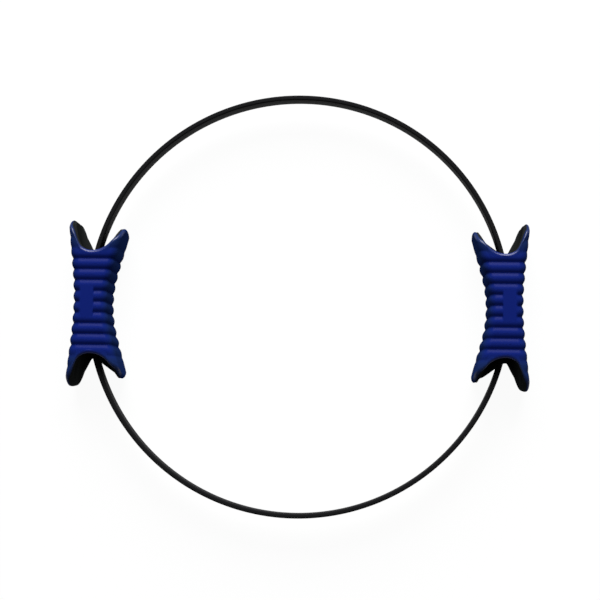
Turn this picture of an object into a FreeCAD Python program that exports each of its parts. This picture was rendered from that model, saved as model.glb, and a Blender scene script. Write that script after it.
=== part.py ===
import FreeCAD, Part
import math
import os

# Pilates ring: a flat spring strip in a rubber sleeve, bent to a hoop and clamped in two padded handles.
# The ring lies flat. +Z is the axis of the hoop, the handles stand on the X axis, and z = 0 is the
# surface that the backs of the handles rest on. Lengths are in millimetres, angles in degrees.

# Hoop
hoop_radius = 178.0
strip_thickness = 1.8
strip_width = 13.0
sleeve_thickness = 4.0
sleeve_width = 18.0
sleeve_edge_share = 0.45
strip_play = 0.25
pivots_per_half = 9
flex_height = 38.5
pivot_play = 0.2

# Handle outline, as seen along the axis of the hoop
grip_depth = 47.0
waist_inner = 17.3
waist_outer = 11.8
inner_waist_radius = 100.0
outer_waist_radius = 250.0
inner_flank_angle = 15.0
outer_flank_angle = 5.6
inner_horn_reach = 64.2
outer_horn_reach = 71.2
front_root_reach = 53.0
back_root_reach = 58.5
front_notch_reach = 43.6
front_notch_inner_radius = 22.5
front_notch_outer_radius = 15.0
front_notch_offset = 3.5
back_notch_reach = 46.5
back_notch_radius = 6.0
back_notch_inner_angle = 55.0
back_notch_outer_angle = 16.0
grip_edge_radius = 7.0

# Grip skin and its ribs
skin_thickness = 2.8
groove_pitch = 9.15
groove_width = 3.0
groove_depth = 1.4
grooves_each_side = 5
plain_grooves_each_side = 1
panel_width = 11.0

# Core shells
skin_play = 0.1
shell_wall = 2.4
hollow_edge_radius = 7.0
shell_setback = 0.4
shell_split = 0.2
end_wall_reach = 34.0
end_wall_thickness = 3.2
slot_play = 0.3
seat_play = 0.05

# Splice plate in the left handle
splice_thickness = 1.6
splice_half_length = 27.0
strip_end_gap = 0.6

# Clamp screws and nuts
screw_height = 19.5
screw_diameter = 4.0
screw_hole_play = 0.25
screw_head_diameter = 8.0
screw_head_thickness = 2.6
screw_head_play = 0.4
screw_head_edge_share = 0.35
screw_seat_depth = 11.5
recess_length = 4.6
recess_width = 1.0
recess_depth = 1.6
inner_boss_diameter = 12.4
outer_boss_diameter = 11.0
nut_across_flats = 7.0
nut_thickness = 3.2
nut_play = 0.1
nut_floor = 6.0
thread_play = 0.05
screw_past_nut = 0.4

# Cuts run past the faces that they open by this much
overrun = 1.0

origin = FreeCAD.Vector(0, 0, 0)
up = FreeCAD.Vector(0, 0, 1)

# Sizes that follow from the ones above
hoop_height = grip_depth / 2
inner_waist_x = hoop_radius - waist_inner
outer_waist_x = hoop_radius + waist_outer
block_reach = outer_horn_reach + grip_edge_radius
strip_inner_radius = hoop_radius - strip_thickness / 2
strip_outer_radius = hoop_radius + strip_thickness / 2
core_inset = skin_thickness + skin_play
hollow_inset = core_inset + shell_wall
root_inset = core_inset + shell_wall / 2


def height_angle(height):
    """The angle at the hoop's centre of the point of the hoop at this height above the handle's middle."""
    return math.degrees(math.asin(height / hoop_radius))


flex_angle = height_angle(flex_height)
screw_angle = height_angle(screw_height)
link_angle = (180.0 - 2 * flex_angle) / (pivots_per_half - 1)


def turned(shape, angle):
    """A copy of the shape, turned about the hoop's axis."""
    copy = shape.copy()
    copy.rotate(origin, up, angle)
    return copy


def mirrored(shape):
    """The shape's mirror image in the plane through the hoop's axis and both handles."""
    return shape.mirror(origin, FreeCAD.Vector(0, 1, 0))


def box(low, high):
    """A box between two corners."""
    size = [b - a for a, b in zip(low, high)]
    return Part.makeBox(*size, FreeCAD.Vector(*low))


def prism(edges, rise):
    """A closed outline, pushed along a vector."""
    return Part.Face(Part.Wire(edges)).extrude(rise)


def line(start, end):
    return Part.LineSegment(start, end).toShape()


def arc(start, middle, end):
    return Part.Arc(start, middle, end).toShape()


def revolved(face, start, end):
    """A face in the XZ plane, swept about the hoop's axis from one angle to another."""
    return turned(face.revolve(origin, up, end - start), start)


def section(inner, outer, low, high, corner):
    """A rectangle in the XZ plane with round corners, or square ones where the corner radius is zero."""
    reach = corner * (1 - math.sqrt(0.5))
    ends = [
        (FreeCAD.Vector(inner + corner, 0, low), FreeCAD.Vector(outer - corner, 0, low)),
        (FreeCAD.Vector(outer, 0, low + corner), FreeCAD.Vector(outer, 0, high - corner)),
        (FreeCAD.Vector(outer - corner, 0, high), FreeCAD.Vector(inner + corner, 0, high)),
        (FreeCAD.Vector(inner, 0, high - corner), FreeCAD.Vector(inner, 0, low + corner)),
    ]
    bends = [
        FreeCAD.Vector(outer - reach, 0, low + reach),
        FreeCAD.Vector(outer - reach, 0, high - reach),
        FreeCAD.Vector(inner + reach, 0, high - reach),
        FreeCAD.Vector(inner + reach, 0, low + reach),
    ]
    edges = []
    for number, (start, end) in enumerate(ends):
        following = ends[(number + 1) % len(ends)][0]
        edges.append(line(start, end))
        if corner > 0:
            edges.append(arc(end, bends[number], following))
    return Part.Face(Part.Wire(edges))


def hoop_piece(thickness, width, start, end, corner=0):
    """A stretch of the hoop with this cross-section."""
    face = section(
        hoop_radius - thickness / 2,
        hoop_radius + thickness / 2,
        hoop_height - width / 2,
        hoop_height + width / 2,
        corner,
    )
    return revolved(face, start, end)


def radial_cylinder(diameter, start, end, angle=0):
    """A cylinder at the hoop's height whose axis runs out from the hoop's centre."""
    base = FreeCAD.Vector(start, 0, hoop_height)
    cylinder = Part.makeCylinder(diameter / 2, end - start, base, FreeCAD.Vector(1, 0, 0))
    return turned(cylinder, angle)


def hexagon(across_flats, start, end, angle=0):
    """A hexagonal prism at the hoop's height whose axis runs out from the hoop's centre."""
    corner = across_flats / 2 / math.cos(math.radians(30))
    points = []
    for side in range(7):
        turn = math.radians(60 * side)
        y = corner * math.cos(turn)
        z = hoop_height + corner * math.sin(turn)
        points.append(FreeCAD.Vector(start, y, z))
    face = Part.Face(Part.makePolygon(points))
    return turned(face.extrude(FreeCAD.Vector(end - start, 0, 0)), angle)


def flank(centre, radius, angle, side, height):
    """One face of the handle's outline: a waist arc with a straight flank at each end, from low to high.
    The arc bulges towards +X where side is 1 and towards -X where side is -1."""
    bend = math.radians(angle)
    arc_x = centre + side * radius * math.cos(bend)
    arc_y = radius * math.sin(bend)
    end_x = arc_x - side * (block_reach - arc_y) * math.tan(bend)
    low_end = FreeCAD.Vector(end_x, -block_reach, height)
    low_bend = FreeCAD.Vector(arc_x, -arc_y, height)
    waist = FreeCAD.Vector(centre + side * radius, 0, height)
    high_bend = FreeCAD.Vector(arc_x, arc_y, height)
    high_end = FreeCAD.Vector(end_x, block_reach, height)
    edges = [line(low_end, low_bend), arc(low_bend, waist, high_bend), line(high_bend, high_end)]
    return edges, low_end, high_end


def handle_block(inset, radius=None):
    """The handle as a solid hourglass, drawn in by this inset on every side. Its long edges have this radius,
    or else run alongside those of the grip."""
    inner, inner_low, inner_high = flank(
        inner_waist_x - inner_waist_radius, inner_waist_radius + inset, inner_flank_angle, 1, inset
    )
    outer, outer_low, outer_high = flank(
        outer_waist_x + outer_waist_radius, outer_waist_radius + inset, outer_flank_angle, -1, inset
    )
    ends = [line(inner_high, outer_high), line(outer_low, inner_low)]
    outline = Part.__sortEdges__(inner + outer + ends)
    block = prism(outline, FreeCAD.Vector(0, 0, grip_depth - 2 * inset))
    if radius is None:
        radius = grip_edge_radius - inset
    if radius <= 0:
        return block
    flat_edges = [edge for edge in block.Edges if edge.BoundBox.ZLength < radius]
    long_edges = [edge for edge in flat_edges if edge.BoundBox.YLength > radius]
    return block.makeFillet(radius, long_edges)


def face_x(waist_x, radius, angle, side, height):
    """Where a face of the handle's outline stands at this height above the handle's middle."""
    bend = math.radians(angle)
    drop = radius * (1 - math.cos(bend)) + (height - radius * math.sin(bend)) * math.tan(bend)
    return waist_x - side * drop


inner_tip_x = face_x(inner_waist_x, inner_waist_radius, inner_flank_angle, 1, inner_horn_reach)
outer_tip_x = face_x(outer_waist_x, outer_waist_radius, outer_flank_angle, -1, outer_horn_reach)
horn_slope = (outer_horn_reach - inner_horn_reach) / (outer_tip_x - inner_tip_x)
inner_start_reach = inner_horn_reach - horn_slope * inner_tip_x


def horn_trim(setback):
    """What lies within the rounded tongues at both ends of a handle, drawn back by the setback."""
    trims = []
    for way in (1, -1):
        tip = inner_start_reach - setback
        tongue_tip = FreeCAD.Vector(0, way * tip, hoop_height)
        outline = []
        far_ends = []
        for side, root_reach in ((-1, back_root_reach), (1, front_root_reach)):
            rise = inner_horn_reach - root_reach
            radius = (hoop_height * hoop_height + rise * rise) / (2 * rise)
            whole_turn = math.atan2(hoop_height, radius - rise)
            bends = []
            for turn in (whole_turn / 2, whole_turn):
                y = tip - radius * (1 - math.cos(turn))
                z = hoop_height + side * radius * math.sin(turn)
                bends.append(FreeCAD.Vector(0, way * y, z))
            far_end = FreeCAD.Vector(0, -way * hoop_radius, bends[1].z)
            outline += [arc(tongue_tip, *bends), line(bends[1], far_end)]
            far_ends.append(far_end)
        outline.append(line(*far_ends))
        across = FreeCAD.Vector(1, way * horn_slope, 0) * (2 * hoop_radius)
        trims.append(prism(Part.__sortEdges__(outline), across))
    return trims[0].common(trims[1])


front_notch_radii = (front_notch_inner_radius, front_notch_outer_radius)


def notch(offset, reach, radii, angles, low):
    """A round-bottomed notch in a wall, with these radii on its inner and outer side. Each side is flared by
    its angle, until the notch is as wide as the front one."""
    middle_x = hoop_radius - offset
    bottom = FreeCAD.Vector(middle_x, reach, low)
    far_y = block_reach + max(front_notch_radii)
    sides = []
    outline = []
    for way, radius, front_radius, angle in zip((-1, 1), radii, front_notch_radii, angles):
        bends = []
        for turn in (math.radians(90 - angle) / 2, math.radians(90 - angle)):
            x = middle_x + way * radius * math.sin(turn)
            bends.append(FreeCAD.Vector(x, reach + radius * (1 - math.cos(turn)), low))
        outline.append(arc(bottom, *bends))
        points = bends[1:]
        if angle > 0:
            side_x = hoop_radius - front_notch_offset + way * front_radius
            side_y = points[0].y + abs(side_x - points[0].x) / math.tan(math.radians(angle))
            points.append(FreeCAD.Vector(side_x, side_y, low))
            far_y = max(far_y, side_y + overrun)
        sides.append(points)
    for points in sides:
        points.append(FreeCAD.Vector(points[-1].x, far_y, low))
        outline += [line(start, end) for start, end in zip(points, points[1:])]
    outline.append(line(sides[1][-1], sides[0][-1]))
    rise = FreeCAD.Vector(0, 0, grip_edge_radius + overrun)
    return prism(Part.__sortEdges__(outline), rise)


def notches(setback):
    """The notches in the front and back walls, at both ends of a handle."""
    front_low = grip_depth - grip_edge_radius
    front = notch(front_notch_offset, front_notch_reach - setback, front_notch_radii, (0, 0), front_low)
    back_radii = (back_notch_radius, back_notch_radius)
    flares = (back_notch_inner_angle, back_notch_outer_angle)
    back = notch(0, back_notch_reach - setback, back_radii, flares, -overrun)
    return [front, mirrored(front), back, mirrored(back)]


def slab(low, high, inner=0):
    """A slice of space across a handle between two heights above its middle."""
    return box((inner, low, -overrun), (2 * hoop_radius, high, grip_depth + overrun))


def panel_blocks():
    """Where the smooth panels interrupt the grooves, on the front and the back of a grip."""
    half = panel_width / 2
    reach = (plain_grooves_each_side + 1) * groove_pitch
    low = (hoop_radius - half, -reach)
    high = (hoop_radius + half, reach)
    back = box((*low, -overrun), (*high, grip_edge_radius))
    front = box((*low, grip_depth - grip_edge_radius), (*high, grip_depth + overrun))
    return [back, front]


def grooves():
    """The grooves between the ribs of a grip. The last one at each end is on the outer horn alone."""
    layer = handle_block(-overrun).cut(handle_block(groove_depth))
    cuts = []
    for number in range(-grooves_each_side - 1, grooves_each_side + 2):
        middle = number * groove_pitch
        inner = hoop_radius if abs(number) > grooves_each_side else 0
        cut = slab(middle - groove_width / 2, middle + groove_width / 2, inner).common(layer)
        if abs(number) <= plain_grooves_each_side:
            cut = cut.cut(panel_blocks())
        cuts.append(cut)
    return cuts


def grip():
    """The soft ribbed skin of the right handle."""
    tube = handle_block(0).cut(handle_block(skin_thickness))
    ended = tube.common(horn_trim(0)).cut(notches(0))
    return ended.cut(grooves())


screw_seat_radius = hoop_radius - screw_seat_depth
nut_seat_radius = strip_outer_radius + nut_floor
nut_end_radius = nut_seat_radius + nut_thickness
screw_end_radius = nut_end_radius + screw_past_nut
screw_hole_diameter = screw_diameter + 2 * screw_hole_play


def screw_holes(angles):
    """The holes for the clamp screws, right through a handle."""
    return [radial_cylinder(screw_hole_diameter, 0, 2 * hoop_radius, angle) for angle in angles]


screw_angles = (screw_angle, -screw_angle)


def core(inner_seat_radius):
    """The hard core of the right handle in one piece, with the strip's seat on its inner side at a radius."""
    block = handle_block(core_inset)
    hollow = handle_block(hollow_inset, hollow_edge_radius)
    root_block = handle_block(root_inset)
    inside = []
    slots = []
    wall_start = end_wall_reach - end_wall_thickness
    for way in (1, -1):
        low, high = sorted((way * wall_start, way * end_wall_reach))
        inside.append(slab(low, high).common(root_block))
        first, last = sorted(
            (way * height_angle(wall_start - overrun), way * height_angle(end_wall_reach + overrun))
        )
        slots.append(
            hoop_piece(sleeve_thickness + 2 * slot_play, sleeve_width + 2 * slot_play, first, last)
        )
    cuts = screw_holes(screw_angles)
    for angle in screw_angles:
        inner_boss = radial_cylinder(inner_boss_diameter, 0, inner_seat_radius + overrun, angle)
        outer_boss = radial_cylinder(outer_boss_diameter, strip_outer_radius, 2 * hoop_radius, angle)
        inside.append(inner_boss.common(root_block))
        inside.append(outer_boss.common(root_block))
        head_room = screw_head_diameter + 2 * screw_head_play
        cuts.append(radial_cylinder(head_room, 0, screw_seat_radius, angle))
        cuts.append(hexagon(nut_across_flats + 2 * nut_play, nut_seat_radius, 2 * hoop_radius, angle))
    spread = 2 * screw_angle
    seat = section(
        inner_seat_radius - seat_play,
        strip_outer_radius + seat_play,
        hoop_height - inner_boss_diameter,
        hoop_height + inner_boss_diameter,
        0,
    )
    cuts.append(revolved(seat, -spread, spread).common(slab(-wall_start, wall_start)))
    whole = block.cut(hollow).fuse(inside)
    ended = whole.common(horn_trim(shell_setback)).cut(notches(shell_setback))
    return ended.cut(cuts + slots)


def shells(inner_seat_radius):
    """The outer and the inner shell of the right handle, split along the hoop."""
    whole = core(inner_seat_radius)
    outside = Part.makeCylinder(hoop_radius + shell_split / 2, grip_depth)
    inside = Part.makeCylinder(hoop_radius - shell_split / 2, grip_depth)
    return whole.cut(outside), whole.common(inside)


def clamp_screw(angle):
    """A pan-head machine screw with a cross recess, its head towards the hoop's centre."""
    head_start = screw_seat_radius - screw_head_thickness
    shank = radial_cylinder(screw_diameter, screw_seat_radius - overrun, screw_end_radius)
    head = radial_cylinder(screw_head_diameter, head_start, screw_seat_radius)
    rim = min(head.Edges, key=lambda edge: edge.BoundBox.XMax)
    screw = shank.fuse(head.makeFillet(screw_head_edge_share * screw_head_thickness, [rim]))
    recesses = []
    for across, along in ((recess_width, recess_length), (recess_length, recess_width)):
        low = (head_start - overrun, -across / 2, hoop_height - along / 2)
        high = (head_start + recess_depth, across / 2, hoop_height + along / 2)
        recesses.append(box(low, high))
    return turned(screw.cut(recesses), angle)


def clamp_nut(angle):
    """A hexagon nut in its pocket in the outer shell."""
    nut = hexagon(nut_across_flats, nut_seat_radius, nut_end_radius)
    thread = radial_cylinder(screw_diameter + 2 * thread_play, 0, 2 * hoop_radius)
    return turned(nut.cut(thread), angle)


def pivot(angle, play=0):
    """The round of a strip pivot: the strip's own thickness, with play around it."""
    turn = math.radians(angle)
    base = FreeCAD.Vector(
        hoop_radius * math.cos(turn), hoop_radius * math.sin(turn), hoop_height - strip_width / 2 - play
    )
    return Part.makeCylinder(strip_thickness / 2 + play, strip_width + 2 * play, base)


def strip(start, end):
    """A plain stretch of the spring strip between two angles."""
    return hoop_piece(strip_thickness, strip_width, start, end)


def strip_link(start, end):
    """A stretch of strip with a round edge at its higher angle and a hollow edge at its lower one."""
    return strip(start, end).fuse(pivot(end)).cut(pivot(start, pivot_play)).removeSplitter()


def strip_links():
    """The moving stretches of the upper half, numbered from the left handle to the right one."""
    links = []
    for number in range(pivots_per_half - 1):
        end = 180 - flex_angle - number * link_angle
        links.append(strip_link(end - link_angle, end))
    return links


def left_strip_end():
    """The upper end of the strip in the left handle, hollow where the first moving stretch turns."""
    gap_angle = height_angle(strip_end_gap / 2)
    stretch = strip(180 - flex_angle, 180 - gap_angle)
    hole = screw_holes((180 - screw_angle,))
    return stretch.cut(pivot(180 - flex_angle, pivot_play)).cut(hole)


def right_strip():
    """The strip through the right handle, with a round edge at both ends."""
    stretch = strip(-flex_angle, flex_angle)
    rounded = stretch.fuse([pivot(-flex_angle), pivot(flex_angle)]).removeSplitter()
    return rounded.cut(screw_holes(screw_angles))


def splice_plate():
    """The plate that bridges the strip's two ends on their inner side."""
    outer = strip_inner_radius - seat_play
    half_angle = height_angle(splice_half_length)
    face = section(
        outer - splice_thickness, outer, hoop_height - strip_width / 2, hoop_height + strip_width / 2, 0
    )
    plate = revolved(face, 180 - half_angle, 180 + half_angle)
    return plate.cut(screw_holes((180 - screw_angle, 180 + screw_angle)))


def sleeve():
    """The rubber sleeve over the upper half of the strip, from inside one handle to inside the other."""
    start = height_angle(end_wall_reach - end_wall_thickness)
    room_start = height_angle(end_wall_reach - end_wall_thickness - overrun)
    corner = sleeve_edge_share * sleeve_thickness
    skin = hoop_piece(sleeve_thickness, sleeve_width, start, 180 - start, corner)
    room_thickness = strip_thickness + 2 * strip_play
    room_width = strip_width + 2 * strip_play
    return skin.cut(hoop_piece(room_thickness, room_width, room_start, 180 - room_start))


def ring():
    """Every piece of the ring, by name."""
    right_grip = grip()
    splice_seat_radius = strip_inner_radius - seat_play - splice_thickness
    right_outer, right_inner = shells(strip_inner_radius)
    left_outer, left_inner = shells(splice_seat_radius)
    screws = Part.makeCompound([clamp_screw(angle) for angle in screw_angles])
    nuts = Part.makeCompound([clamp_nut(angle) for angle in screw_angles])
    strip_end = left_strip_end()
    upper_sleeve = sleeve()
    pieces = {
        "left_grip": turned(right_grip, 180),
        "left_outer_shell": turned(left_outer, 180),
        "left_inner_shell": turned(left_inner, 180),
        "left_clamp_screws": turned(screws, 180),
        "left_clamp_nuts": turned(nuts, 180),
        "left_strip_end_upper": strip_end,
        "left_strip_end_lower": mirrored(strip_end),
        "left_splice_plate": splice_plate(),
        "right_grip": right_grip,
        "right_outer_shell": right_outer,
        "right_inner_shell": right_inner,
        "right_clamp_screws": screws,
        "right_clamp_nuts": nuts,
        "right_strip": right_strip(),
        "upper_sleeve": upper_sleeve,
        "lower_sleeve": mirrored(upper_sleeve),
    }
    for number, link in enumerate(strip_links(), 1):
        pieces[f"upper_strip_{number}"] = link
        pieces[f"lower_strip_{number}"] = mirrored(link)
    return pieces


os.makedirs("parts", exist_ok=True)
for name, shape in ring().items():
    shape.exportStep(f"parts/{name}.step")
    print(name, "solids", len(shape.Solids), "valid", shape.isValid(), "volume", round(shape.Volume, 1))
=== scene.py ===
import math

import bmesh
import bpy
from mathutils import Matrix, Vector


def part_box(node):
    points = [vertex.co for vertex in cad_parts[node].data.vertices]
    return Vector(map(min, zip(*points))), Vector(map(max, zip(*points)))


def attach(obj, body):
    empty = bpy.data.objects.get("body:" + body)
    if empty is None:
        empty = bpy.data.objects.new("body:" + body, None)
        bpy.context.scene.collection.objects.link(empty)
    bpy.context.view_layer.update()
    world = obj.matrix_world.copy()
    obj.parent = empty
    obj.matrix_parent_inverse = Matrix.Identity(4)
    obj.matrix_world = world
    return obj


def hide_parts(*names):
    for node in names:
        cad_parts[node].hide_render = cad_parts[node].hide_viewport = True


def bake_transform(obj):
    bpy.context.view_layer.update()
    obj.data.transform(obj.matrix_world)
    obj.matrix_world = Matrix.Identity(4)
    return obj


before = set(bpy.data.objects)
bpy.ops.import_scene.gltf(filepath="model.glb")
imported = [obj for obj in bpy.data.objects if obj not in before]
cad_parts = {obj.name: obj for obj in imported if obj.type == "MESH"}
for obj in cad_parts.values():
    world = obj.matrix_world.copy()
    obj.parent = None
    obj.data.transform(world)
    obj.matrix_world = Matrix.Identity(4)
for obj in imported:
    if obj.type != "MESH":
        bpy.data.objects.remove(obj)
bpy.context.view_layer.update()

bl_info = {
    "name": "Pilates ring",
    "version": (1, 0, 0),
    "blender": (4, 2, 0),
    "location": "View3D > Sidebar > Pilates ring",
    "description": "Ribbed grips, rubber hoop sleeve, finishes and stage for a pilates ring",
    "category": "Object",
}

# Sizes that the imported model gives
sleeve_low, sleeve_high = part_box("upper_sleeve")
grip_low, grip_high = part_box("right_grip")
hoop_outer = sleeve_high[1]
packed_sleeve_width = sleeve_high[2] - sleeve_low[2]
packed_depth = grip_high[2] - grip_low[2]
hoop_height = (sleeve_low[2] + sleeve_high[2]) / 2

HALVES = {"upper": 1, "lower": -1}
SIDES = {"right": 1, "left": -1}
LINKS = 8
WHITE = (1.0, 1.0, 1.0)


def length(name, description, default):
    return bpy.props.FloatProperty(
        name=name, description=description, default=default, unit="LENGTH", precision=5
    )


def place(name, description, default):
    return bpy.props.FloatVectorProperty(
        name=name, description=description, default=default, unit="LENGTH", size=3
    )


def angle(name, description, degrees):
    return bpy.props.FloatProperty(
        name=name, description=description, default=math.radians(degrees), subtype="ANGLE"
    )


def number(name, description, default):
    return bpy.props.FloatProperty(name=name, description=description, default=default)


def count(name, description, default):
    return bpy.props.IntProperty(name=name, description=description, default=default, min=1)


def colour(name, description, default):
    return bpy.props.FloatVectorProperty(
        name=name,
        description=description,
        default=default,
        subtype="COLOR",
        size=3,
        min=0.0,
        max=1.0,
    )


def group(name, description, kind):
    return bpy.props.PointerProperty(name=name, description=description, type=kind)


class HoopSizes(bpy.types.PropertyGroup):
    """Sizes of the hoop and its rubber sleeve."""

    thickness: length("Sleeve thickness", "Across the flat band, out from the hoop's centre", 0.004)
    width: length("Sleeve width", "Along the hoop's axis", packed_sleeve_width)
    edge_share: number("Edge share", "Corner radius of the sleeve as a share of its thickness", 0.3)
    sleeve_start: length("Sleeve start", "From a handle's middle to the sleeve's end", 0.0308)
    flex_height: length("Flex height", "From a handle's middle to where the hoop bends", 0.0385)
    corner_steps: count("Corner steps", "Faces round each corner of the sleeve", 6)
    bend_steps: count("Bend steps", "Faces along each stretch of the sleeve", 24)


class GripSizes(bpy.types.PropertyGroup):
    """Sizes of the ribbed grips."""

    depth: length("Depth", "From the back of a handle to its front", packed_depth)
    waist_inner: length("Inner waist", "From the hoop to the inner face at the waist", 0.0173)
    waist_outer: length("Outer waist", "From the hoop to the outer face at the waist", 0.0118)
    inner_radius: length("Inner waist radius", "Radius of the inner face at the waist", 0.1)
    outer_radius: length("Outer waist radius", "Radius of the outer face at the waist", 0.25)
    inner_angle: angle("Inner flank angle", "Lean of the inner face towards the horns", 15.0)
    outer_angle: angle("Outer flank angle", "Lean of the outer face towards the horns", 5.6)
    inner_reach: length("Inner horn reach", "Inner horns' tips from the handle's middle", 0.0642)
    outer_reach: length("Outer horn reach", "Outer horns' tips from the handle's middle", 0.0712)
    inner_front_drop: length("Inner front drop", "Tip of the inner horns to their front", 0.0112)
    inner_back_drop: length("Inner back drop", "Tip of the inner horns to their back", 0.0057)
    outer_front_drop: length("Outer front drop", "Tip of the outer horns to their front", 0.0097)
    outer_back_drop: length("Outer back drop", "Tip of the outer horns to their back", 0.0009)
    outer_blend: length("Outer blend", "Over which the outer horns round into the notches", 0.008)
    front_reach: length("Front notch reach", "Front notch's lip from the handle's middle", 0.0436)
    front_inner: length("Front inner radius", "Radius of the front notch's inner side", 0.0225)
    front_outer: length("Front outer radius", "Radius of the front notch's outer side", 0.015)
    front_offset: length("Front notch offset", "Front notch's middle, in from the hoop", 0.0035)
    back_reach: length("Back notch reach", "Back notch's lip from the handle's middle", 0.0465)
    back_radius: length("Back notch radius", "Radius of the back notch", 0.006)
    back_inner_angle: angle("Back notch inner flare", "Flare of the back notch's inner side", 55.0)
    back_outer_angle: angle("Back notch outer flare", "Flare of the back notch's outer side", 16.0)
    notch_slope: number("Notch slope", "How steeply the notches end at the sides", 3.0)
    edge_radius: length("Edge radius", "Radius of the long edges", 0.007)
    skin: length("Skin", "Thickness of the soft skin", 0.0028)
    rim: length("Rim", "Height of the rounded rim", 0.003)
    rim_thickness: length("Rim thickness", "Thickness of the skin at its rim", 0.004)
    rim_swell: length("Rim swell", "Over which the skin thickens towards the rim", 0.006)
    pitch: length("Groove pitch", "From one groove to the next", 0.00915)
    groove_half: length("Groove half width", "From a groove's bottom to the rib's top", 0.00455)
    groove_power: number("Groove power", "How sharply the grooves dip, 1 for straight sides", 2.5)
    groove_round: length("Groove round", "Rounding of the grooves' bottoms", 0.0007)
    groove_depth: length("Groove depth", "Depth of the grooves", 0.0014)
    horn_groove_depth: length("Horn groove depth", "Depth of the grooves on the horns", 0.0005)
    grooves: count("Grooves", "Grooves from the middle to each end of the front", 4)
    inner_grooves: count("Inner horn grooves", "Further grooves on each inner horn", 1)
    outer_grooves: count("Outer horn grooves", "Further grooves on each outer horn", 2)
    plain_grooves: count("Broken grooves", "Broken by the panel, each side of the middle groove", 1)
    panel_width: length("Panel width", "Width of the smooth panel", 0.011)
    panel_fade: length("Panel fade", "Over which the grooves rise to the panel", 0.001)
    horn_fade: length("Horn fade", "Over which the grooves fade towards the rim", 0.004)
    # Painted sheen: the blue turns greyer towards the horns over this length
    painted_sheen_fade: length("Dull fade", "Over which the blue turns duller towards the horns", 0.012)
    ribbed_reach: length("Ribbed reach", "Where the even rows of the grip end", 0.0395)
    face_steps: count("Face steps", "Faces across the front and the back", 38)
    side_steps: count("Side steps", "Faces across the sides", 30)
    corner_steps: count("Corner steps", "Faces round each long edge", 9)
    ribbed_steps: count("Ribbed steps", "Rows of faces along the ribbed length", 128)
    horn_steps: count("Horn steps", "Rows of faces along each horn", 40)
    rim_steps: count("Rim steps", "Rows of faces round each rim", 8)
    inside_steps: count("Inside steps", "Rows of faces along the inside", 24)
    search_steps: count("Search steps", "Halvings that find where a wall ends", 40)
    rim_passes: count("Rim passes", "Times the kinks of the rims are smoothed", 6)


class CoreSizes(bpy.types.PropertyGroup):
    """Sizes of the hard shells under the grips."""

    inset: length("Inset", "From the grip's surface to the shells", 0.0029)
    wall: length("Wall", "Thickness of the shells", 0.0024)
    hollow_radius: length("Hollow edge radius", "Radius of the hollow's long edges", 0.009)
    setback: length("Setback", "From the grip's rim to the shells' rim", 0.0008)
    rim: length("Rim", "Height of the rounded rim", 0.0011)
    wall_reach: length("End wall reach", "End walls' outer face from the handle's middle", 0.034)
    slot_play: length("Slot play", "Play of the sleeve in the end walls", 0.0003)
    split: length("Split", "Gap between the two shells", 0.0002)
    sharp_angle: angle("Sharp angle", "Edges that turn by more than this stay sharp", 38.0)
    outside_steps: count("Outside steps", "Rows of faces along the outside", 24)
    rim_steps: count("Rim steps", "Rows of faces round each rim", 8)
    horn_steps: count("Horn steps", "Rows of faces along the inside of each horn", 16)
    wall_steps: count("End wall steps", "Rows of faces across each end wall", 4)


class Finishes(bpy.types.PropertyGroup):
    """Colours and sheen."""

    grip: colour("Grip", "Blue of the grips", (0.0054, 0.0143, 0.147))
    # Painted sheen: a greyer blue on the grips' sides and horns stands in for their grazing sheen
    side: colour("Side", "Duller blue of the grips' sides and horns", (0.0084, 0.0207, 0.091))
    # Painted shade: the groove blue darkens the grooves' bottoms; the mottle also turns towards it
    painted_groove_shade: colour("Groove", "Blue in the bottom of the grooves", (0.0012, 0.0023, 0.045))
    grip_roughness: number("Grip roughness", "Roughness of the grips", 0.5)
    # The next two set how far the painted groove shade darkens a groove's bottom and how fast it
    # fades up the ribs
    painted_groove_shade_share: number("Groove share", "How far a groove's bottom turns to its own blue", 0.5)
    painted_groove_shade_power: number("Groove power", "How fast that blue fades up the ribs, 1 for evenly", 1.5)
    mottle_share: number("Mottle share", "How far soft patches turn to the grooves' blue", 0.08)
    mottle_scale: number("Mottle scale", "Soft patches along a metre of a grip", 60.0)
    coat_roughness: number("Gloss roughness", "Roughness of the gloss on ribs and rims", 0.3)
    rib_gloss: number("Rib gloss", "Gloss of the ribs on the front and the back", 0.05)
    rib_gloss_power: count("Rib gloss power", "How fast that gloss fades round the long edges", 8)
    rim_gloss: number("Rim gloss", "Gloss of the rims on the front and the back", 0.6)
    rim_gloss_rise: number("Rim gloss rise", "Share of the way round over which it rises", 0.08)
    rim_gloss_end: number("Rim gloss end", "Share of the way round where it starts to fade", 0.3)
    rim_gloss_fade: number("Rim gloss fade", "Share of the way round over which it fades", 0.15)
    face_start: number("Face start", "Share of the depth where a rim's gloss begins", 0.65)
    face_rise: number("Face rise", "Share of the depth over which that gloss rises", 0.25)
    black_start: number("Black start", "Share of the way round a rim where black begins", 0.45)
    black_rise: number("Black rise", "Share of the way round a rim over which black rises", 0.2)
    sleeve: colour("Sleeve", "Black of the hoop's sleeve", (0.0105, 0.0105, 0.0113))
    sleeve_roughness: number("Sleeve roughness", "Roughness of the sleeve", 0.5)
    core: colour("Core", "Black of the handles' cores", (0.0165, 0.018, 0.018))
    core_roughness: number("Core roughness", "Roughness of the cores", 0.5)
    steel: colour("Spring steel", "Grey of the spring strip", (0.32, 0.32, 0.33))
    steel_roughness: number("Spring steel roughness", "Roughness of the spring strip", 0.34)
    plated: colour("Plated steel", "Grey of the screws and nuts", (0.6, 0.6, 0.58))
    plated_roughness: number("Plated steel roughness", "Roughness of the screws and nuts", 0.25)


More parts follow.
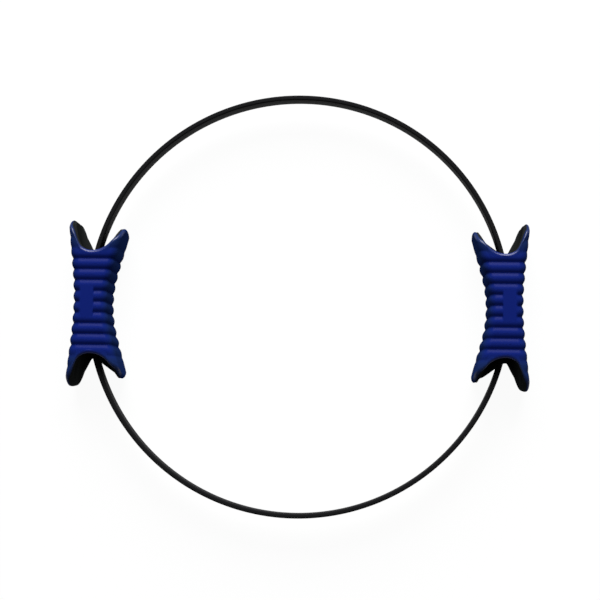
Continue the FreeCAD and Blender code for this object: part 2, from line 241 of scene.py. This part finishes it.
class Studio(bpy.types.PropertyGroup):
    """Camera and light."""

    distance: length("Distance", "Camera from the middle of the hoop", 1.3)
    across: number("Across", "Share of the distance that lies towards the right handle", 0.039)
    along: number("Along", "Share of the distance that lies towards the picture's top", -0.0772)
    aim_x: length("Aim across", "What the camera looks at, towards the right handle", 0.00157)
    aim_y: length("Aim along", "What the camera looks at, towards the top of the picture", 0.00467)
    roll: angle("Roll", "Turn of the camera about its view", 0.769)
    lens: number("Lens", "Focal length in millimetres", 91.4)
    sensor: number("Sensor", "Width of the camera's sensor in millimetres", 36.0)
    floor_size: length("Floor", "Side of the floor", 6.0)
    floor_shade: colour("Floor shade", "Grey of the floor under its own light", (0.06, 0.06, 0.06))
    floor_roughness: number("Floor roughness", "Roughness of the floor", 0.9)
    key: number("Key light", "Power of the light beyond the top of the picture", 220.0)
    key_place: place("Key light place", "Middle of that light", (0.0, 2.75, 1.7))
    key_size: length("Key light size", "Side of that light", 2.4)
    sky: number("Sky", "Strength of the light from all round", 0.1)
    floor_glow: number("Floor glow", "Light of its own that the floor shows", 0.95)
    floor_bounce: number("Floor bounce", "Share of that light that falls on the ring", 0.65)


def settings():
    return bpy.context.scene.pilates_ring


def hoop_middle():
    """Radius of the middle of the hoop's band."""
    return hoop_outer - settings().hoop.thickness / 2


def smooth(share):
    """A step from 0 to 1 with a soft start and end."""
    share = min(1.0, max(0.0, share))
    return share * share * (3 - 2 * share)


class Shade:
    """A value in a material's node tree. Sums and products with it add Math nodes."""

    def __init__(self, finish, socket):
        self.finish = finish
        self.socket = socket

    def combine(self, operation, other):
        node = self.finish.node("ShaderNodeMath", {"operation": operation}, {0: self, 1: other})
        return Shade(self.finish, node.outputs["Value"])

    def __add__(self, other):
        return self.combine("ADD", other)

    def __mul__(self, other):
        return self.combine("MULTIPLY", other)


class Finish:
    """A material or a world under way: its main shader, and the nodes that feed it."""

    def __init__(self, data, shader):
        data.use_nodes = True
        self.data = data
        self.tree = data.node_tree
        self.shader = next(node for node in self.tree.nodes if node.type == shader)

    def plug(self, socket, value):
        if isinstance(value, Shade):
            self.tree.links.new(value.socket, socket)
        else:
            socket.default_value = value

    def set(self, name, value):
        self.plug(self.shader.inputs[name], value)

    def node(self, kind, choices=None, values=None):
        made = self.tree.nodes.new(kind)
        for name, choice in (choices or {}).items():
            setattr(made, name, choice)
        for name, value in (values or {}).items():
            self.plug(made.inputs[name], value)
        return made

    def seen(self):
        """1 where the camera sees it, 0 where its light falls on something."""
        return Shade(self, self.node("ShaderNodeLightPath").outputs["Is Camera Ray"])

    def noise(self, scale, detail=2.0):
        spot = Shade(self, self.node("ShaderNodeTexCoord").outputs["Object"])
        values = {"Vector": spot, "Scale": scale, "Detail": detail}
        made = self.node("ShaderNodeTexNoise", {"noise_dimensions": "3D"}, values)
        return Shade(self, made.outputs["Fac"])

    def attribute(self, name):
        made = self.node("ShaderNodeAttribute", {"attribute_name": name})
        return Shade(self, made.outputs["Fac"])

    def mix(self, share, first, second):
        made = self.node("ShaderNodeMix", {"data_type": "RGBA"})
        self.plug(made.inputs["Factor"], share)
        for name, value in (("A", first), ("B", second)):
            socket = next(each for each in made.inputs if each.name == name and each.type == "RGBA")
            self.plug(socket, value if isinstance(value, Shade) else (*value, 1.0))
        return Shade(self, next(each for each in made.outputs if each.type == "RGBA"))

    def bump(self, height, strength, distance):
        values = {"Height": height, "Strength": strength, "Distance": distance}
        made = self.node("ShaderNodeBump", None, values)
        self.set("Normal", Shade(self, made.outputs["Normal"]))

    def vary_roughness(self, grain, middle, spread):
        """Lets the roughness go half the spread to each side of its middle, with the grain."""
        self.set("Roughness", grain * spread + (middle - spread / 2))


def coated(name, base, roughness, metallic=0.0, specular=0.5):
    """A material with plain values, for more nodes to feed."""
    finish = Finish(bpy.data.materials.new(name), "BSDF_PRINCIPLED")
    finish.set("Base Color", (*base, 1.0))
    finish.set("Roughness", roughness)
    finish.set("Metallic", metallic)
    finish.set("Specular IOR Level", specular)
    return finish


def grained(name, base, roughness, specular, scale, spread, strength, height):
    """A material with a fine grain in its roughness and on its surface."""
    finish = coated(name, base, roughness, specular=specular)
    grain = finish.noise(scale)
    finish.vary_roughness(grain, roughness, spread)
    finish.bump(grain, strength, height)
    return finish


def grip_rubber():
    look = settings().finishes
    finish = grained(
        "grip_rubber",
        look.grip,
        look.grip_roughness,
        specular=0.0,
        scale=1500.0,
        spread=0.1,
        strength=0.25,
        height=0.00012,
    )
    mottle = finish.noise(look.mottle_scale)
    # Painted sheen: the sides and the horns turn to the greyer side blue
    skin = finish.mix(finish.attribute("painted_sheen"), look.grip, look.side)
    # Painted shade in the grooves' bottoms, plus soft patches of mottle, towards the groove blue
    groove_shade_and_mottle = finish.attribute("painted_groove_shade") * look.painted_groove_shade_share + mottle * look.mottle_share
    blue = finish.mix(groove_shade_and_mottle, skin, look.painted_groove_shade)
    finish.set("Base Color", finish.mix(finish.attribute("black"), blue, look.core))
    finish.set("Coat Weight", finish.attribute("gloss"))
    finish.set("Coat Roughness", look.coat_roughness)
    return finish.data


def sleeve_rubber():
    look = settings().finishes
    finish = grained(
        "sleeve_rubber",
        look.sleeve,
        look.sleeve_roughness,
        specular=0.012,
        scale=1800.0,
        spread=0.12,
        strength=0.2,
        height=0.0001,
    )
    return finish.data


def core_plastic():
    look = settings().finishes
    finish = grained(
        "core_plastic",
        look.core,
        look.core_roughness,
        specular=0.0,
        scale=2200.0,
        spread=0.1,
        strength=0.15,
        height=0.00008,
    )
    return finish.data


def spring_steel():
    look = settings().finishes
    finish = coated("spring_steel", look.steel, look.steel_roughness, metallic=1.0)
    streak = finish.noise(scale=240.0, detail=3.0)
    finish.vary_roughness(streak, look.steel_roughness, spread=0.16)
    return finish.data


def plated_steel():
    look = settings().finishes
    return coated("plated_steel", look.plated, look.plated_roughness, metallic=1.0).data


def finished(mesh, name, material, sharp=None):
    """An object from a bmesh, facing outwards, and smooth but for the edges in sharp."""
    bmesh.ops.recalc_face_normals(mesh, faces=mesh.faces[:])
    if mesh.calc_volume(signed=True) < 0:
        bmesh.ops.reverse_faces(mesh, faces=mesh.faces[:])
    for face in mesh.faces:
        face.smooth = True
    for edge in sharp or []:
        edge.smooth = False
    data = bpy.data.meshes.new(name)
    mesh.to_mesh(data)
    mesh.free()
    data.materials.append(material)
    piece = bpy.data.objects.new(name, data)
    bpy.context.scene.collection.objects.link(piece)
    return piece


# Grips


def face_x(waist_x, radius, lean, way, y):
    """Where a face of the handle's outline stands at this height."""
    y = abs(y)
    if y < radius * math.sin(lean):
        drop = radius - math.sqrt(radius * radius - y * y)
    else:
        drop = radius * (1 - math.cos(lean)) + (y - radius * math.sin(lean)) * math.tan(lean)
    return waist_x - way * drop


class Handle:
    """The outline of the right handle: its section at any height, and where its walls end."""

    def __init__(self, sizes, hoop_radius):
        self.sizes = sizes
        self.hoop_radius = hoop_radius
        self.columns = 2 * sizes.face_steps + 2 * sizes.side_steps + 4 * sizes.corner_steps
        self.inner_tip = self.inner_x(sizes.inner_reach)
        width = self.outer_x(sizes.outer_reach) - self.inner_tip
        self.slope = (sizes.outer_reach - sizes.inner_reach) / width
        self.spots = self.section_spots()
        self.ends = self.rim_heights(0.0)

    def inner_x(self, y):
        s = self.sizes
        return face_x(self.hoop_radius - s.waist_inner, s.inner_radius, s.inner_angle, 1, y)

    def outer_x(self, y):
        s = self.sizes
        return face_x(self.hoop_radius + s.waist_outer, s.outer_radius, s.outer_angle, -1, y)

    def section_spots(self):
        """For each column: its place on the section, as across, up and the turn of its corner."""
        s = self.sizes
        corners = ((1, 1), (-1, 1), (-1, -1), (1, -1))
        spots = []
        for quarter, (across, up) in enumerate(corners):
            next_across, next_up = corners[(quarter + 1) % len(corners)]
            turn = math.pi / 2 * (quarter + 1)
            steps = s.face_steps if up == next_up else s.side_steps
            for step in range(steps):
                share = step / steps
                along = across + (next_across - across) * share, up + (next_up - up) * share
                spots.append((*along, turn))
            for step in range(s.corner_steps):
                spots.append((next_across, next_up, turn + math.pi / 2 * step / s.corner_steps))
        return spots

    def point(self, column, y, inset=0.0, radius=None):
        """The point of the section at this height, in from the surface by the inset.

        Its corners have this radius, or else run alongside those of the surface."""
        s = self.sizes
        low, high = self.inner_x(y), self.outer_x(y)
        if radius is None:
            radius = s.edge_radius - inset
        half_x = (high - low) / 2 - inset
        return self.corner_point(column, (low + high) / 2, y, half_x, s.depth / 2 - inset, radius)

    def corner_point(self, column, x, y, half_x, half_z, radius):
        """The point of a column on a round-cornered rectangle about this X at this height."""
        across, up, turn = self.spots[column]
        x += across * (half_x - radius) + radius * math.cos(turn)
        z = self.sizes.depth / 2 + up * (half_z - radius) + radius * math.sin(turn)
        return Vector((x, y, z))

    def tongue(self, x, z):
        """How far the horns reach at this point of the section."""
        s = self.sizes
        half = s.depth / 2
        if x > self.hoop_radius:
            drop = s.outer_back_drop if z < half else s.outer_front_drop
        else:
            drop = s.inner_back_drop if z < half else s.inner_front_drop
        radius = (half * half + drop * drop) / (2 * drop)
        arc = math.sqrt(max(0.0, radius * radius - (z - half) ** 2)) - radius
        return s.inner_reach + self.slope * (x - self.inner_tip) + arc

    def front_notch(self, x):
        s = self.sizes
        away = x - (self.hoop_radius - s.front_offset)
        radius = s.front_outer if away > 0 else s.front_inner
        if abs(away) >= radius:
            return math.inf
        return s.front_reach + radius - math.sqrt(radius * radius - away * away)

    def back_notch(self, x):
        s = self.sizes
        away = x - self.hoop_radius
        flare = s.back_outer_angle if away > 0 else s.back_inner_angle
        away = abs(away)
        bend = s.back_radius * math.cos(flare)
        if away < bend:
            return s.back_reach + s.back_radius - math.sqrt(s.back_radius**2 - away * away)
        lip = s.back_reach + s.back_radius * (1 - math.sin(flare))
        return lip + (away - bend) / math.tan(flare)

    def limit(self, point):
        """How far the wall may reach where it passes this point."""
        s = self.sizes
        below_front = max(0.0, s.depth - s.edge_radius - point.z)
        above_back = max(0.0, point.z - s.edge_radius)
        front = self.front_notch(point.x) + s.notch_slope * below_front
        back = self.back_notch(point.x) + s.notch_slope * above_back
        tongue = self.tongue(point.x, point.z)
        notch = min(front, back)
        if point.x < self.hoop_radius:
            return min(tongue, notch)
        # A soft minimum, which takes a quarter of the blend off where the two are equal
        near = max(0.0, 1 - abs(tongue - notch) / s.outer_blend)
        return min(tongue, notch) - near * near * s.outer_blend / 4

    def rim_heights(self, inset, radius=None):
        """For each column, the height at which the wall ends, with the kinks smoothed."""
        s = self.sizes
        ends = []
        for column in range(self.columns):
            low, high = s.ribbed_reach, s.outer_reach
            for step in range(s.search_steps):
                middle = (low + high) / 2
                if middle < self.limit(self.point(column, middle, inset, radius)):
                    low = middle
                else:
                    high = middle
            ends.append(low)
        for step in range(s.rim_passes):
            ends = [
                (ends[column - 1] + 2 * ends[column] + ends[(column + 1) % self.columns]) / 4
                for column in range(self.columns)
            ]
        return ends

    def groove(self, column, y):
        """How deep the surface lies below the rib tops here."""
        s = self.sizes
        nearest = round(y / s.pitch)
        depth = s.groove_depth
        point = self.point(column, y)
        further = abs(nearest) - s.grooves
        if further > 0:
            depth = s.horn_groove_depth * smooth((self.ends[column] - abs(y)) / s.horn_fade)
            on_face = abs(self.spots[column][1]) == 1 and abs(self.spots[column][0]) < 1
            most = s.inner_grooves if point.x < self.hoop_radius else s.outer_grooves
            if on_face or further > most:
                return 0.0
        away = math.hypot(y - nearest * s.pitch, s.groove_round) - s.groove_round
        across = max(0.0, 1 - away / s.groove_half) ** s.groove_power
        if abs(nearest) <= s.plain_grooves and abs(self.spots[column][1]) == 1:
            across *= smooth((abs(point.x - self.hoop_radius) - s.panel_width / 2) / s.panel_fade)
        return depth * across


def grip_rows(sizes):
    """For each row round the wall of the grip: its kind and its share of the way along it."""
    rows = []
    ribbed, horn = sizes.ribbed_steps, sizes.horn_steps
    for step in range(horn):
        rows.append(("horn", step / horn - 1))
    for step in range(ribbed):
        rows.append(("ribbed", 2 * step / ribbed - 1))
    for step in range(horn):
        rows.append(("horn", step / horn))
    for step in range(sizes.rim_steps):
        rows.append(("high rim", step / sizes.rim_steps))
    for step in range(sizes.inside_steps):
        rows.append(("inside", 1 - 2 * step / sizes.inside_steps))
    for step in range(sizes.rim_steps):
        rows.append(("low rim", 1 - step / sizes.rim_steps))
    return rows


def face_share(sizes, z):
    """1 on the front and the back of a grip, 0 on its sides, and a soft step between."""
    look = settings().finishes
    return smooth((max(z, sizes.depth - z) / sizes.depth - look.face_start) / look.face_rise)


def painted_sheen_share(handle, column, y):
    """Share of painted sheen: 1 on a grip's sides and horns, 0 on its front and back between the
    horns.
    """
    s = handle.sizes
    side = math.cos(handle.spots[column][2]) ** 2
    horn = smooth((abs(y) - s.ribbed_reach) / s.painted_sheen_fade)
    return max(side, horn)


def grip_point(handle, column, row):
    """A vertex of the right grip: its place, and its shares of painted groove shade, black and
    gloss.
    """
    s = handle.sizes
    look = settings().finishes
    kind, share = row
    straight_end = handle.ends[column] - s.rim
    if kind in ("high rim", "low rim"):
        way = 1 if kind == "high rim" else -1
        turn = math.pi * share
        y = straight_end + s.rim * math.sin(turn)
        point = handle.point(column, straight_end, s.rim_thickness / 2 * (1 - math.cos(turn)))
        fade = smooth((share - look.rim_gloss_end) / look.rim_gloss_fade)
        gloss = look.rim_gloss * smooth(share / look.rim_gloss_rise) * (1 - fade)
        black = smooth((share - look.black_start) / look.black_rise)
        return Vector((point.x, way * y, point.z)), 0.0, black, gloss * face_share(s, point.z)
    if kind == "inside":
        y = straight_end * math.sin(math.pi / 2 * share)
        swell = smooth(1 - (straight_end - abs(y)) / s.rim_swell)
        thickness = s.skin + (s.rim_thickness - s.skin) * swell
        return handle.point(column, y, thickness), 0.0, 1.0, 0.0
    if kind == "ribbed":
        y = share * s.ribbed_reach
    else:
        y = math.copysign(s.ribbed_reach + abs(share) * (straight_end - s.ribbed_reach), share)
    depth = handle.groove(column, y)
    point = handle.point(column, y, depth)
    gloss = look.rib_gloss * math.sin(handle.spots[column][2]) ** look.rib_gloss_power
    # The deeper the groove, the more painted shade it gets
    return point, (depth / s.groove_depth) ** look.painted_groove_shade_power, 0.0, gloss


def spun_wall(columns, rows):
    """A closed wall, spun from a circle of rows, with the column and row of each vertex."""
    mesh = bmesh.new()
    spin_radius, row_radius = 1.0, 0.5
    upright = Matrix.Translation((spin_radius, 0, 0)) @ Matrix.Rotation(math.pi / 2, 4, "X")
    loop = bmesh.ops.create_circle(
        mesh, cap_ends=False, segments=rows, radius=row_radius, matrix=upright
    )
    bmesh.ops.spin(
        mesh,
        geom=loop["verts"] + mesh.edges[:],
        cent=(0, 0, 0),
        axis=(0, 0, 1),
        angle=2 * math.pi,
        steps=columns,
        use_merge=True,
    )
    spots = []
    for vertex in mesh.verts:
        x, y, z = vertex.co
        column = round(math.atan2(y, x) / (2 * math.pi) * columns) % columns
        tilt = math.atan2(z, math.hypot(x, y) - spin_radius) - math.pi / 2
        row = round(tilt / (2 * math.pi) * rows) % rows
        spots.append((column, row))
    return mesh, spots


def turn_to_side(mesh, way):
    """Leaves a piece of the right handle where it is, or turns it to the left one."""
    if way < 0:
        half_turn = Matrix.Rotation(math.pi, 3, "Z")
        bmesh.ops.rotate(mesh, verts=mesh.verts[:], cent=(0, 0, 0), matrix=half_turn)


def make_grip(handle, side, material):
    """One grip: a spun wall, moved onto the handle's shape."""
    rows = grip_rows(handle.sizes)
    mesh, spots = spun_wall(handle.columns, len(rows))
    # Per vertex: painted groove shade, black, coat gloss and painted sheen
    shares = [mesh.verts.layers.float.new(name) for name in ("painted_groove_shade", "black", "gloss", "painted_sheen")]
    for vertex, (column, row) in zip(mesh.verts, spots):
        vertex.co, *values = grip_point(handle, column, rows[row])
        # Share of painted sheen
        values.append(painted_sheen_share(handle, column, vertex.co.y))
        for layer, value in zip(shares, values):
            vertex[layer] = value
    turn_to_side(mesh, SIDES[side])
    return finished(mesh, f"{side}_grip_skin", material)


class RING_OT_grips(bpy.types.Operator):
    """Makes the two ribbed grips"""

    bl_idname = "pilates_ring.grips"
    bl_label = "Grips"

    def execute(self, context):
        handle = Handle(settings().grip, hoop_middle())
        material = grip_rubber()
        for side in SIDES:
            piece = make_grip(handle, side, material)
            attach(piece, f"{side}_handle")
            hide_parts(f"{side}_grip")
        return {"FINISHED"}


# Shells


def core_rows(sizes):
    """For each row round the wall of the shells: its kind, its end and its share of the way."""
    rows = []
    for step in range(sizes.outside_steps):
        rows.append(("outside", 1, 2 * step / sizes.outside_steps - 1))
    kinds = (
        ("rim", sizes.rim_steps),
        ("horn", sizes.horn_steps),
        ("outer face", sizes.wall_steps),
        ("slot", 1),
        ("inner face", sizes.wall_steps),
    )
    for kind, steps in kinds:
        for step in range(steps):
            rows.append((kind, 1, step / steps))
    for kind, steps in reversed(kinds):
        for step in range(steps):
            rows.append((kind, -1, 1 - step / steps))
    return rows


def core_point(handle, ends, column, row):
    """The place of one vertex of the right handle's shells."""
    s = settings().core
    kind, way, share = row
    outer_end, inner_end = (heights[column] - s.setback - s.rim for heights in ends)
    inner = s.inset + s.wall
    low_reach = settings().hoop.sleeve_start
    if kind == "outside":
        return handle.point(column, share * outer_end, s.inset)
    if kind == "rim":
        turn = math.pi * share
        low = handle.point(column, outer_end, s.inset)
        high = handle.point(column, inner_end, inner, s.hollow_radius)
        point = low.lerp(high, (1 - math.cos(turn)) / 2)
        point.y += s.rim * math.sin(turn)
    elif kind == "horn":
        y = inner_end + (s.wall_reach - inner_end) * share
        point = handle.point(column, y, inner, s.hollow_radius)
    else:
        through = s.wall_reach + (low_reach - s.wall_reach) * share
        heights = {"outer face": s.wall_reach, "slot": through, "inner face": low_reach}
        y = heights[kind]
        wall = handle.point(column, y, inner, s.hollow_radius)
        edge = slot_point(handle, column, y)
        if kind == "slot":
            point = edge
        elif kind == "outer face":
            point = wall.lerp(edge, share)
        else:
            point = edge.lerp(wall, share)
    point.y *= way
    return point


def slot_point(handle, column, y):
    """The edge of the slot in an end wall that the sleeve passes through."""
    hoop = settings().hoop
    play = settings().core.slot_play
    x = math.sqrt(handle.hoop_radius**2 - y * y)
    half_x = hoop.thickness / 2 + play
    half_z = hoop.width / 2 + play
    corner = hoop.edge_share * hoop.thickness + play
    return handle.corner_point(column, x, y, half_x, half_z, corner)


def make_shell(handle, side, half, material):
    """One shell of a handle: a spun wall, moved onto the handle's shape and cut in two."""
    s = settings().core
    rows = core_rows(s)
    ends = (handle.rim_heights(s.inset), handle.rim_heights(s.inset + s.wall, s.hollow_radius))
    mesh, spots = spun_wall(handle.columns, len(rows))
    for vertex, (column, row) in zip(mesh.verts, spots):
        vertex.co = core_point(handle, ends, column, rows[row])
    way = 1 if half == "outer" else -1
    split_x = math.sqrt(handle.hoop_radius**2 - s.wall_reach**2) + way * s.split / 2
    geometry = mesh.verts[:] + mesh.edges[:] + mesh.faces[:]
    bmesh.ops.bisect_plane(
        mesh, geom=geometry, plane_co=(split_x, 0, 0), plane_no=(way, 0, 0), clear_inner=True
    )
    open_edges = [edge for edge in mesh.edges if edge.is_boundary]
    caps = bmesh.ops.holes_fill(mesh, edges=open_edges, sides=0)
    bmesh.ops.triangulate(mesh, faces=caps["faces"])
    turn_to_side(mesh, SIDES[side])
    sharp = [
        edge for edge in mesh.edges if edge.is_manifold and edge.calc_face_angle() > s.sharp_angle
    ]
    return finished(mesh, f"{side}_{half}_core", material, sharp)


class RING_OT_cores(bpy.types.Operator):
    """Makes the black shells that show at the ends of the grips"""

    bl_idname = "pilates_ring.cores"
    bl_label = "Cores"

    def execute(self, context):
        handle = Handle(settings().grip, hoop_middle())
        material = core_plastic()
        for side in SIDES:
            for half in ("outer", "inner"):
                piece = make_shell(handle, side, half, material)
                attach(piece, f"{side}_handle")
                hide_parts(f"{side}_{half}_shell")
        return {"FINISHED"}


# Hoop


def sleeve_stretch(name, start, end, material):
    """A stretch of the rubber sleeve between two angles about the hoop's axis."""
    s = settings().hoop
    radius = hoop_middle()
    corner = s.edge_share * s.thickness
    mesh = bmesh.new()
    segments = 4 * (s.corner_steps + 1)
    section = bmesh.ops.create_circle(mesh, cap_ends=True, segments=segments, radius=1.0)
    spokes = sorted(section["verts"], key=lambda vertex: math.atan2(vertex.co.y, vertex.co.x))
    for index, vertex in enumerate(spokes):
        quarter, step = divmod(index, s.corner_steps + 1)
        turn = -math.pi + math.pi / 2 * (quarter + step / s.corner_steps)
        across = -1 if quarter in (0, 3) else 1
        up = -1 if quarter in (0, 1) else 1
        x = radius + across * (s.thickness / 2 - corner) + corner * math.cos(turn)
        z = hoop_height + up * (s.width / 2 - corner) + corner * math.sin(turn)
        vertex.co = (x, 0, z)
    geometry = mesh.verts[:] + mesh.edges[:] + mesh.faces[:]
    turned = Matrix.Rotation(start, 3, "Z")
    bmesh.ops.rotate(mesh, verts=mesh.verts[:], cent=(0, 0, 0), matrix=turned)
    bmesh.ops.spin(
        mesh,
        geom=geometry,
        cent=(0, 0, 0),
        axis=(0, 0, 1),
        angle=end - start,
        steps=s.bend_steps,
        use_merge=False,
    )
    caps = [face for face in mesh.faces if len(face.verts) > 4]
    rims = [edge for face in caps for edge in face.edges]
    return finished(mesh, name, material, rims)


class RING_OT_sleeve(bpy.types.Operator):
    """Makes the rubber sleeve of the hoop, in curved stretches that end at the middles of the links
    """

    bl_idname = "pilates_ring.sleeve"
    bl_label = "Sleeve"

    def execute(self, context):
        s = settings().hoop
        material = sleeve_rubber()
        radius = hoop_middle()
        first = math.asin(s.sleeve_start / radius)
        pivot = math.asin(s.flex_height / radius)
        link = (math.pi - 2 * pivot) / LINKS
        for half, way in HALVES.items():
            turns = [math.pi - first]
            turns += [math.pi - pivot - (number + 0.5) * link for number in range(LINKS)]
            for number in range(LINKS):
                before, after = way * turns[number], way * turns[number + 1]
                piece = sleeve_stretch(f"{half}_sleeve_{number + 1}", before, after, material)
                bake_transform(piece)
                self.stand_for(piece, half)
            self.right_end(half, way * turns[-1], way * pivot, way * first, material)
        return {"FINISHED"}

    def right_end(self, half, before, pivot, after, material):
        """The last stretch of a half. The lower one is in two, as no joint bends it there."""
        last = f"{half}_link_{LINKS}"
        name = f"{half}_sleeve_{LINKS + 1}"
        if half == "upper":
            piece = sleeve_stretch(name, before, after, material)
            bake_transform(piece)
            self.stand_for(piece, half)
            return
        moving = sleeve_stretch(name, before, pivot, material)
        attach(moving, last)
        self.stand_for(moving, half)
        held = sleeve_stretch(f"{half}_sleeve_{LINKS + 2}", pivot, after, material)
        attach(held, "right_handle")
        self.stand_for(held, half)

    def stand_for(self, piece, half):
        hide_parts(f"{half}_sleeve")


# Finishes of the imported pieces


class RING_OT_steel(bpy.types.Operator):
    """Gives the spring strip, the splice plate, the screws and the nuts their steel"""

    bl_idname = "pilates_ring.steel"
    bl_label = "Steel"

    def execute(self, context):
        dress(spring_steel(), ["_strip", "splice_plate"])
        dress(plated_steel(), ["clamp_screws", "clamp_nuts"])
        return {"FINISHED"}


def dress(material, words):
    """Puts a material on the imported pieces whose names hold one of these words."""
    for name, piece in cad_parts.items():
        if any(word in name for word in words):
            piece.data.materials.clear()
            piece.data.materials.append(material)


# Stage


class RING_OT_stage(bpy.types.Operator):
    """Makes the floor, the lights and the camera"""

    bl_idname = "pilates_ring.stage"
    bl_label = "Stage"

    def execute(self, context):
        self.floor()
        self.lights()
        self.camera()
        context.scene.view_settings.view_transform = "Standard"
        return {"FINISHED"}

    def floor(self):
        studio = settings().studio
        mesh = bmesh.new()
        bmesh.ops.create_grid(mesh, x_segments=1, y_segments=1, size=studio.floor_size / 2)
        finish = coated("floor_white", studio.floor_shade, studio.floor_roughness, specular=0.0)
        dim = (studio.floor_bounce, studio.floor_bounce, studio.floor_bounce)
        finish.set("Emission Color", finish.mix(finish.seen(), dim, WHITE))
        finish.set("Emission Strength", studio.floor_glow)
        finished(mesh, "floor", finish.data)

    def lights(self):
        studio = settings().studio
        data = bpy.data.lights.new("key", "AREA")
        data.size = studio.key_size
        data.energy = studio.key
        light = bpy.data.objects.new("key", data)
        light.location = studio.key_place
        light.rotation_euler = Vector(studio.key_place).to_track_quat("Z", "Y").to_euler()
        bpy.context.scene.collection.objects.link(light)
        backdrop = Finish(bpy.data.worlds.new("studio"), "BACKGROUND")
        backdrop.set("Color", (*WHITE, 1.0))
        backdrop.set("Strength", backdrop.seen() * (1 - studio.sky) + studio.sky)
        bpy.context.scene.world = backdrop.data

    def camera(self):
        studio = settings().studio
        middle = Vector((0, 0, hoop_height))
        upward = math.sqrt(1 - studio.across**2 - studio.along**2)
        spot = middle + studio.distance * Vector((studio.across, studio.along, upward))
        back = (spot - middle - Vector((studio.aim_x, studio.aim_y, 0))).normalized()
        right = Vector((0, 1, 0)).cross(back).normalized()
        turn = Matrix((right, back.cross(right), back)).transposed()
        turn = turn @ Matrix.Rotation(studio.roll, 3, "Z")
        data = bpy.data.cameras.new("camera")
        data.sensor_width = studio.sensor
        data.lens = studio.lens
        camera = bpy.data.objects.new("camera", data)
        camera.matrix_world = Matrix.Translation(spot) @ turn.to_4x4()
        bpy.context.scene.collection.objects.link(camera)
        bpy.context.scene.camera = camera


class RingSettings(bpy.types.PropertyGroup):
    """All the sizes, finishes and lights of the ring."""

    hoop: group("Hoop", "Sizes of the hoop", HoopSizes)
    grip: group("Grip", "Sizes of the grips", GripSizes)
    core: group("Core", "Sizes of the shells", CoreSizes)
    finishes: group("Finishes", "Colours and sheen", Finishes)
    studio: group("Studio", "Camera and light", Studio)


STEPS = (RING_OT_grips, RING_OT_sleeve, RING_OT_cores, RING_OT_steel, RING_OT_stage)


class RING_PT_panel(bpy.types.Panel):
    """Lists the steps that dress the ring"""

    bl_idname = "RING_PT_panel"
    bl_label = "Pilates ring"
    bl_space_type = "VIEW_3D"
    bl_region_type = "UI"
    bl_category = "Pilates ring"

    def draw(self, context):
        for step in STEPS:
            self.layout.operator(step.bl_idname)


CLASSES = (HoopSizes, GripSizes, CoreSizes, Finishes, Studio, RingSettings, *STEPS, RING_PT_panel)


def register():
    for each in CLASSES:
        bpy.utils.register_class(each)
    bpy.types.Scene.pilates_ring = bpy.props.PointerProperty(type=RingSettings)


def unregister():
    del bpy.types.Scene.pilates_ring
    for each in reversed(CLASSES):
        bpy.utils.unregister_class(each)


def main():
    register()
    bpy.ops.pilates_ring.grips()
    bpy.ops.pilates_ring.sleeve()
    bpy.ops.pilates_ring.cores()
    bpy.ops.pilates_ring.steel()
    bpy.ops.pilates_ring.stage()


if __name__ == "__main__":
    main()
